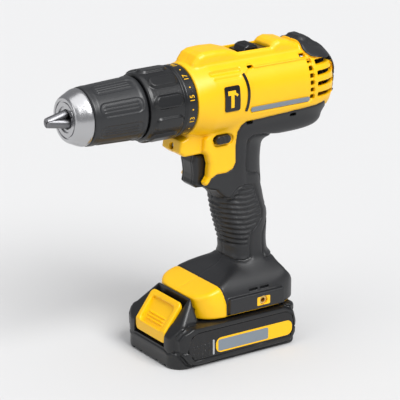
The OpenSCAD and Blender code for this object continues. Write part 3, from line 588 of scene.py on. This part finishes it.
def pack_plain(x, y, z):
    """The pack's masses: a rounded box, a sloping tower in front and a rail block on top."""
    ax = np.abs(x)
    r = np.where(y < 16, 12, 6)
    plan = rounded_box(x, y, (0, 16.3), (33.5, 51.7), r)
    f = smooth_max(smooth_max(plan, z - 30.5, 3), -z, 2.5)
    f = smooth_max(f, (z - 22.5) * 0.63 - (y + 35.4) * 0.777, 2)
    flanks = (ax - 30.6) * 0.84 + (z - 30.5) * 0.542
    tower = smooth_max(outline_distance(y, z, TOWER), flanks, 2)
    f = smooth_min(f, smooth_max(tower, plan, 1.5), 1.5)
    rails = np.maximum(rounded_box(x, y, (0, 24.5), (20.4, 37.4), 1), z - 38)
    return np.minimum(f, np.maximum(rails, 20 - z))


def pack_field(x, y, z):
    """The pack with its side pads, seam, notches, button pocket, terminal slots, rails and screw holes."""
    ax = np.abs(x)
    f = pack_plain(x, y, z)
    pad = np.maximum(outline_distance(y, z, SIDE_PAD), 24 - ax)
    inner = np.maximum(outline_distance(y, z, SIDE_PAD_INNER), 24 - ax)
    f = groove(f, pad - 1.1, 1.0, 1.0)
    f = raised(f, pad, 2.0, 0.6)
    f = recess(f, inner, 1.2, 0.4)
    rib = np.maximum(rounded_box(y, z, (-14.5, 12), (7.5, 5.2), 1), 24 - ax)
    f = f - 1.0 * (0.5 + 0.5 * np.cos((y + 20.9) * (2 * np.pi / 3.2))) * np.clip(-rib * 2, 0, 1)
    wave = SEAM_Z - 1.6 * np.exp(-(((ax - 24) / 3) ** 2)) * (y < -20)
    f = groove(f, z - wave, 0.7, 0.7)
    notch = rounded_box(ax, z, (10, 0), (2.4, 1.6), 0.5)
    notch = np.minimum(notch, rounded_box(ax, z, (20, 0), (1.6, 1.6), 0.5))
    f = smooth_max(f, -np.maximum(notch, y + 31), 0.4)
    f = smooth_max(f, -np.maximum(outline_distance(y, z, BUTTON_POCKET), ax - 19.1), 0.5)
    blades = np.min([np.abs(x - b) for b in (-12, -4, 4, 12)], axis=0) - 0.9
    f = smooth_max(f, -np.maximum(np.maximum(blades, 43 - y), 30.9 - z), 0.2)
    side = rounded_box(ax, z, (22, 32.75), (3.4, 0.85), 0.2)
    f = smooth_max(f, -np.maximum(side, -8 - y), 0.2)
    screw = np.hypot(ax - 23, y + 30) - 2.4
    return smooth_max(f, -np.maximum(screw, z - 2), 0.2)


PACK_STEP = 0.7
PACK_WALL = 0.9
pack_points, pack_tris = surface_net(pack_field, (-38, -38, -2), (38, 71, 49), PACK_STEP)
for name, sign, node in (("pack_lower", -1, "pack_lower_shell"), ("pack_upper", 1, "pack_upper_shell")):
    p, t = cut(pack_points, pack_tris, sign * (pack_points[:, 2] - SEAM_Z))
    p, t = shell(p, t, PACK_WALL)
    piece(name, p, t, black, "battery", (node,))


# %% Buttons and trigger
def release_field(x, y, z):
    """A sloping cap with round corners, a flat-floored finger scoop and three ridges."""
    up = (y + 34) * 0.597 + (z - 26) * 0.802
    f = smooth_max(outline_distance(y, z, BUTTON), rounded_box(x, up, (0, 7), (18.6, 15.6), 4), 1.2)
    f = smooth_max(f, rounded_box(x, y, (0, 16.3), (34.2, 51.3), 12), 0.8)
    out = (z - 26) * 0.597 - (y + 34) * 0.802
    scoop = np.maximum(rounded_box(x, up, (0, 8.4), (14.2, 9.6), 3), -2.2 - out)
    f = recess(f, scoop, 2.3, 1.2)
    ridge = np.min([np.abs(up - at) for at in (2.4, 4.8, 7.2)], axis=0)
    return f - 0.9 * np.exp(-((ridge / 0.5) ** 2)) * np.clip((11 - np.abs(x)) / 2, 0, 1)


TRIGGER = [(-2.6, 145.6), (-3.8, 140), (-2.9, 135), (-2.5, 131), (-2.8, 127), (-3.6, 124),
           (-1, 121.4), (5, 120.9), (12, 123), (12, 145.8)]


def trigger_field(x, y, z):
    """A rounded blade with two fine grooves, and the plunger behind it."""
    ax = np.abs(x)
    f = smooth_max(outline_distance(y, z, TRIGGER), ax - 9, 3.2)
    f = groove(f, ax - 5.6, 0.35, 0.5)
    plunger = np.maximum(ax - 6, rounded_box(y, z, (12.3, 134.5), (2.3, 7.5), 0.5))
    return np.minimum(f, plunger)


def direction_field(x, y, z):
    """A bar right across the tool, with three ridges on each end."""
    f = smooth_max(rounded_box(y, z, (14.6, 156.5), (6.1, 3.1), 3.1), np.abs(x) - 19.4, 1.2)
    ridge = np.min([np.abs(y - at) for at in (11.2, 14.6, 18)], axis=0)
    return f - 0.3 * np.exp(-((ridge / 0.5) ** 2)) * (np.abs(x) > 18) * (np.abs(z - 156.5) < 2.4)


KNOB = [(39, 212), (40.4, 215.4), (43, 216.7), (48, 216.7), (50.6, 215.4), (52, 212)]


def selector_field(x, y, z):
    """A plate with a toothed knob on top, and a stem, an arm and a fork below it."""
    ax = np.abs(x)
    f = np.maximum(ax - 8.6, rounded_box(y, z, (48.2, 212.3), (10.8, 0.7), 0.3))
    knob = smooth_max(outline_distance(y, z, KNOB), ax - 7, 1.6)
    teeth = np.cos((y - 45.5) * (2 * np.pi / 1.9)) * np.clip((6 - ax) / 0.8, 0, 1) * (np.abs(y - 45.5) < 3.6)
    knob = knob + 0.25 * teeth * (z > 215)
    stem = np.maximum(np.maximum(ax - 3, np.abs(y - 43) - 5), np.abs(z - 209.8) - 2.2)
    arm = np.maximum(np.maximum(ax - 3, np.abs(y - 31.1) - 16.9), np.abs(z - 208) - 1)
    fork = np.maximum(np.maximum(ax - 2.6, np.abs(y - 14.4) - 0.9), np.abs(z - 206.2) - 2.8)
    return np.min([f, knob, stem, arm, fork], axis=0)


SMALL = [
    ("release_button_cap", release_field, (-20, -37, 15), (20, -16, 46), 0.45, yellow, "release_button",
     "yellow_plastic", "release_button"),
    ("trigger_blade", trigger_field, (-11, -6, 119), (11, 17, 148), 0.45, black, "trigger",
     "black_plastic", "trigger"),
    ("direction_bar", direction_field, (-21, 7, 152), (21, 22, 161), 0.45, black, "direction_button",
     "black_plastic", "direction_button"),
    ("speed_slider", selector_field, (-10, 12.5, 202), (10, 60, 218), 0.35, gloss, "selector", "knob_black",
     "speed_selector"),
]
for name, field, low, high, step, look, body, slot, node in SMALL:
    p, t = surface_net(field, low, high, step)
    piece(name, p, t, look, body, (node,))

# %% [markdown]
# The chuck and the collar turn, so each is a closed profile of (radius, place) swept round the axis.
# Pads, recesses and fine lines are added to the radius as a function of the angle and the place.

# %% Turned parts


def smooth_step(v):
    """v^2 (3 - 2 v) for v held between 0 and 1."""
    v = np.clip(v, 0, 1)
    return v * v * (3 - 2 * v)


def dense(profile, spacing):
    """Points along a closed outline, every corner kept."""
    out = []
    for a, b in zip(profile, profile[1:] + profile[:1]):
        n = max(1, int(math.hypot(b[0] - a[0], b[1] - a[1]) / spacing))
        out += [[a[0] + (b[0] - a[0]) * i / n, a[1] + (b[1] - a[1]) * i / n] for i in range(n)]
    return np.array(out)


def turned(profile, spacing, around, relief=None, outer=0.0):
    """P(u, v) = (r sin u, y, axis + r cos u) with r from the profile plus relief(u, y) where r > outer."""
    line = dense(profile, spacing)
    angle = np.arange(around) * (2 * np.pi / around)
    r, y = line[:, 0][:, None] + 0 * angle, line[:, 1][:, None] + 0 * angle
    if relief is not None:
        r = r + relief(angle[None, :], y) * (line[:, 0] > outer)[:, None]
    p = np.stack([r * np.sin(angle), y, AXIS_Z + r * np.cos(angle)], -1).reshape(-1, 3)
    return p, grid_quads(len(line), around, True, True)


def repeated(angle, count, shift=0.0):
    """Angle from the nearest of count equal places round the axis."""
    pitch = 2 * np.pi / count
    return (angle - shift + pitch / 2) % pitch - pitch / 2


COLLAR_R = 24.0


def collar_relief(angle, y):
    """Ten raised pads with rounded ends, each with a slightly hollow top."""
    across = repeated(angle, 10) * COLLAR_R
    away = rounded_box(across, y, (0, -32.2), (4.3, 10.8), 4.2)
    hollow = np.exp(-((across / 3.0) ** 2)) * 0.25
    return smooth_step(0.5 - away / 2.0) * (1.8 - hollow)


collar = [(15.4, -46.5), (22.4, -46.5), (23.2, -46), (23.5, -45.2), (23.6, -44.4), (23.9, -43.8),
          (24, -20.6), (23.5, -20), (23.5, -19.2), (24.3, -18.6), (24.7, -18), (24.7, -10.7),
          (24.3, -10.3), (20.9, -10.3), (20.7, -10.6), (20.7, -44.2), (15.4, -44.2)]
AROUND = 600
NOSE_AROUND = 240
TURNED_SHARP = 75  # degrees; the edges of pads and recesses stay smooth
p, q = turned(collar, 0.5, AROUND, collar_relief, 22.6)
piece("torque_collar_ring", p, q, black, "collar", ("torque_collar",), TURNED_SHARP)


def sleeve_relief(angle, y):
    """Eight long recesses with rounded ends and three fine lines in each."""
    across = repeated(angle, 8, np.pi / 8) * 21
    long = rounded_box(across, y, (0, -67), (4.9, 16.2), 4.4)
    sunk = smooth_step(0.5 - long / 0.9)
    line = np.min([np.abs(across - at) for at in (-2.2, 0, 2.2)], axis=0)
    ends = smooth_step((13.5 - np.abs(y + 67)) / 1.5)
    return -0.55 * sunk + 0.45 * np.exp(-((line / 0.38) ** 2)) * ends * sunk


sleeve = [(16.6, -88), (19.2, -88), (19.8, -87.7), (20.2, -87), (20.4, -84), (20.5, -83.6), (21, -72),
          (21.8, -52), (22.1, -50.6), (22.1, -49.6), (21.8, -48.2), (21.4, -47.5), (19.3, -47.5),
          (19.3, -68), (16.6, -76.4)]
p, q = turned(sleeve, 0.5, AROUND, sleeve_relief, 19.9)
piece("chuck_grip_sleeve", p, q, chuck_black, "sleeve", ("chuck_sleeve",), TURNED_SHARP)

nose = [(8.6, -99.4), (9.0, -100), (11.8, -100), (12.0, -99.3), (12.8, -99.3), (13.0, -100), (14.3, -100),
        (15.2, -99.7), (15.8, -99), (16.6, -97.6), (18.9, -92.6), (19.5, -91), (19.7, -90), (19.7, -88.9),
        (19.4, -88.4), (13.2, -88.4), (13.2, -98.9), (8.6, -98.9)]
p, q = turned(nose, 0.4, NOSE_AROUND)
piece("chuck_nose_cone", p, q, satin, "spindle", ("chuck_nose",), 40)

# Lamp: a small domed lens deep in the nose.
LAMP_ROWS, LAMP_AROUND = 14, 48
lamp_angles = np.arange(LAMP_AROUND) * (2 * np.pi / LAMP_AROUND)
u, v = np.meshgrid(np.linspace(0, 1, LAMP_ROWS), lamp_angles, indexing="ij")
lamp_r = 2.5 * np.sin(np.minimum(u, 0.5) * np.pi)
lamp_y = np.where(u < 0.5, -13.4 - 1.2 * np.cos(u * np.pi), -13.4 + (u - 0.5) * 12.4)
p = np.stack([lamp_r * np.cos(v), lamp_y, LAMP_Z + lamp_r * np.sin(v)], -1).reshape(-1, 3)
back = len(p)
p = np.concatenate([p, [[0, p[-1, 1], LAMP_Z]]])
q = grid_quads(LAMP_ROWS, LAMP_AROUND, False, True)
ring = np.arange(LAMP_AROUND) + back - LAMP_AROUND
cap = np.stack([ring, np.roll(ring, -1), np.full(LAMP_AROUND, back)], 1)
t = np.concatenate([q[:, [0, 1, 2]], q[:, [0, 2, 3]], cap])
piece("lamp_dome", p, t, lens, "housing", ("led_lamp",))

# %% [markdown]
# Printed and moulded plates lie on the curved sides. Two dark plates among them are painted shade: one in
# the crescent slot of the housing and one on the floor of the pack's side recess. Each is a grid in side
# view whose third coordinate is found by halving steps against the body formula, lifted a little and given a
# wall.

# %% Plates on the sides


PLATE_WALL = 0.5


def side_depth(field, y, z):
    """x where the field changes sign, coming in from outside, by bisection."""
    near, far = np.full(y.shape, 10.0), np.full(y.shape, 40.0)
    for _ in range(26):
        middle = (near + far) / 2
        outside = field(middle, y, z) > 0
        far = np.where(outside, middle, far)
        near = np.where(outside, near, middle)
    return near


def lay_on(field, y, z, lift, sign):
    """A patch on one side: a grid of places in side view, given a wall, as points and triangles."""
    x = side_depth(field, y, z) + lift
    p = np.stack([sign * x, y, z], -1).reshape(-1, 3)
    q = grid_quads(*y.shape)
    t = np.concatenate([q[:, [0, 1, 2]], q[:, [0, 2, 3]]])
    return shell(p, t if sign > 0 else t[:, ::-1], PLATE_WALL)


def rounded_patch(y0, y1, z0, z1, r, columns=60, rows=16):
    """Grid over a rectangle with round corners: rows shorten towards the two ends."""
    s = np.linspace(-1, 1, columns)
    s = np.sin(s * np.pi / 2)
    y = (y0 + y1) / 2 + s * (y1 - y0) / 2
    inset = np.maximum(r - np.minimum(y - y0, y1 - y), 0)
    half = (z1 - z0) / 2 - r + np.sqrt(np.maximum(r * r - inset * inset, 0)) * 0.999 + 0.001
    v = np.linspace(-1, 1, rows)
    return np.repeat(y[:, None], rows, 1), (z0 + z1) / 2 + half[:, None] * v


def plate(name, y, z, lift, look, slot, field=plain_body, body="housing", nodes=()):
    """The same patch on both sides, joined to one piece."""
    p1, t1 = lay_on(field, y, z, lift, 1)
    p2, t2 = lay_on(field, y, z, lift, -1)
    return piece(name, np.concatenate([p1, p2]), np.concatenate([t1, t2 + len(p1)]), look, body, nodes)


def ribbon(path, half):
    """Grid along a side-view path, half wide on each side of it."""
    path = np.array(path, float)
    along = np.gradient(path, axis=0)
    across = np.stack([-along[:, 1], along[:, 0]], 1) / np.linalg.norm(along, axis=1)[:, None]
    edge = np.linspace(-half, half, 5)
    places = path[:, None, :] + across[:, None, :] * edge[None, :, None]
    return places[..., 0], places[..., 1]


plate("mode_plate", *rounded_patch(10.6, 23, 178.4, 195.8, 1.5, 24, 24), 0.25, gloss, "plate_black",
      nodes=("side_plates",))
# The crescent is a dark gloss ribbon on both sides where the housing shows a narrow slot: painted shade of
# the slot's dark inside, not a part of its own.
z_line = np.linspace(176.5, 202, 40)
plate("side_crescent_painted_shade", *ribbon(np.stack([28.3 + 2.2 * (1 - ((z_line - 189.3) / 13) ** 2), z_line], 1), 1.0),
      0.08, gloss, "plate_black")
plate("side_stripe", *rounded_patch(33, 82.5, 174.9, 178.2, 1.2), -0.5, stripe_grey, "plate_black")
# Hammer mark: a head and a handle, drawn as short ribbons.
MARKS = [([(13.0, 191.2), (19.4, 191.2)], 1.5), ([(19.2, 190.4), (20.9, 189.0)], 0.8),
         ([(16.6, 190.0), (16.6, 180.9)], 1.3)]
for number, (line, half) in enumerate(MARKS):
    a, b = np.array(line[0]), np.array(line[1])
    path = a + (b - a) * np.linspace(0, 1, 10)[:, None]
    plate(f"mode_mark_{number + 1}", *ribbon(path, half), 0.33, yellow_print, "yellow_plastic")
# Plates of the pack: a lift over its plain side, a look and a slot for each.
PACK_PLATES = [
    # The first plate is darker gloss black over the floor of each side recess: painted shade that sets the
    # floor off from the highlighted rim round it.
    ("pack_painted_shade_inlay", rounded_patch(-25, 64.2, 6.4, 25.8, 9), 0.95, gloss, "plate_black"),
    ("pack_label", rounded_patch(-2.4, 62.7, 8, 19, 4.5), 1.1, yellow_print, "yellow_plastic"),
    ("pack_panel", rounded_patch(-0.5, 42, 9.1, 17.6, 1.2), 1.2, stripe_grey, "plate_black"),
    ("pack_light_bar", rounded_patch(-5.1, -3.7, 7.5, 18.6, 0.6, 8, 20), 1.15, pale_print, "plate_black"),
]
for name, (y, z), lift, look, slot in PACK_PLATES:
    plate(name, y, z, lift, look, slot, pack_plain, "battery")

# %% Numbers on the dial
DIAL_R = 24.7
DIAL_Y = -14.2
DIAL_PLACES = 20
DIAL_PITCH = 360 // DIAL_PLACES  # degrees
FIFTEEN_AT = 74  # degrees, where the number 15 stands; it has 14 places before it


def wrapped_text(text, size, angle, y):
    """Built-in letters as a mesh, bent round the collar: x along the ring, y towards the chuck."""
    curve = bpy.data.curves.new("dial", "FONT")
    curve.body = text
    curve.size = size
    curve.align_x = "CENTER"
    curve.align_y = "CENTER"
    curve.extrude = 0.15
    curve.resolution_u = 4
    thing = bpy.data.objects.new("dial", curve)
    bpy.context.scene.collection.objects.link(thing)
    bpy.context.view_layer.update()
    final = thing.evaluated_get(bpy.context.evaluated_depsgraph_get())
    mesh = final.to_mesh()
    mesh.calc_loop_triangles()
    p = np.array([v.co for v in mesh.vertices])
    t = np.array([list(f.vertices) for f in mesh.loop_triangles])
    final.to_mesh_clear()
    bpy.data.objects.remove(thing)
    bpy.data.curves.remove(curve)
    r = DIAL_R + p[:, 2]
    turn = angle - p[:, 0] / DIAL_R
    return np.stack([r * np.sin(turn), y - p[:, 1], AXIS_Z + r * np.cos(turn)], 1), t


all_points, all_faces, total = [], [], 0
for k in range(DIAL_PLACES):
    label, size = (str(k + 1), 5.2) if k % 2 == 0 else ("•", 4.5)
    degrees = FIFTEEN_AT - (k - 14) * DIAL_PITCH
    p, t = wrapped_text(label, size, degrees * math.pi / 180, DIAL_Y)
    all_points.append(p)
    all_faces.append(t + total)
    total += len(p)
piece("dial_numbers", np.concatenate(all_points), np.concatenate(all_faces), yellow_print, "collar",
      (), 30)

# %% [markdown]
# A plain pale floor, three broad soft lights and the camera.

# %% Stage
FLOOR = 4.0  # half its side, in metres
floor_mesh = bpy.data.meshes.new("floor")
corners = [(-FLOOR, -FLOOR, 0), (FLOOR, -FLOOR, 0), (FLOOR, FLOOR, 0), (-FLOOR, FLOOR, 0)]
floor_look = bpy.data.materials.new("floor")
floor_look.use_nodes = True
floor_shader = floor_look.node_tree.nodes["Principled BSDF"]
floor_shader.inputs["Base Color"].default_value = (0.65, 0.65, 0.65, 1)
floor_shader.inputs["Roughness"].default_value = 0.95
floor_mesh.from_pydata(corners, [], [(0, 1, 2, 3)])
floor_mesh.materials.append(floor_look)
floor = bpy.data.objects.new("floor", floor_mesh)
bpy.context.scene.collection.objects.link(floor)


def aim(thing, target, azimuth, elevation, distance):
    """Places a thing at a bearing and distance from its target and turns its -Z towards it."""
    a, e = math.radians(azimuth), math.radians(elevation)
    back = Vector((math.sin(a) * math.cos(e), -math.cos(a) * math.cos(e), math.sin(e)))
    thing.location = Vector(target) + back * distance
    thing.rotation_euler = back.to_track_quat("Z", "Y").to_euler()
    bpy.context.scene.collection.objects.link(thing)


MIDDLE = (0, 0.01, 0.11)
# Bearing, height and spread in degrees, and strength.
LIGHTS = [("key light", 98, 48, 35, 2.7), ("front light", 5, 28, 40, 0.55), ("top light", 30, 84, 60, 1.0)]
for name, azimuth, elevation, spread, power in LIGHTS:
    light = bpy.data.lights.new(name, "SUN")
    light.angle = math.radians(spread)
    light.energy = power
    aim(bpy.data.objects.new(name, light), MIDDLE, azimuth, elevation, 1.5)
world = bpy.data.worlds.new("studio")
world.use_nodes = True
sky = world.node_tree.nodes["Background"]
sky.inputs["Color"].default_value = (0.95, 0.96, 1.0, 1)
sky.inputs["Strength"].default_value = 0.35
bpy.context.scene.world = world
camera = bpy.data.cameras.new("camera")
camera.lens = 200.2
camera.sensor_width = 36
camera.clip_end = 50
holder = bpy.data.objects.new("camera", camera)
aim(holder, (0, 0.0075, 0.109), 56.33, 18.68, 1.5516)
bpy.context.scene.camera = holder
bpy.context.scene.view_settings.view_transform = "Standard"
print("stage ready,", len(LIGHTS), "lights")
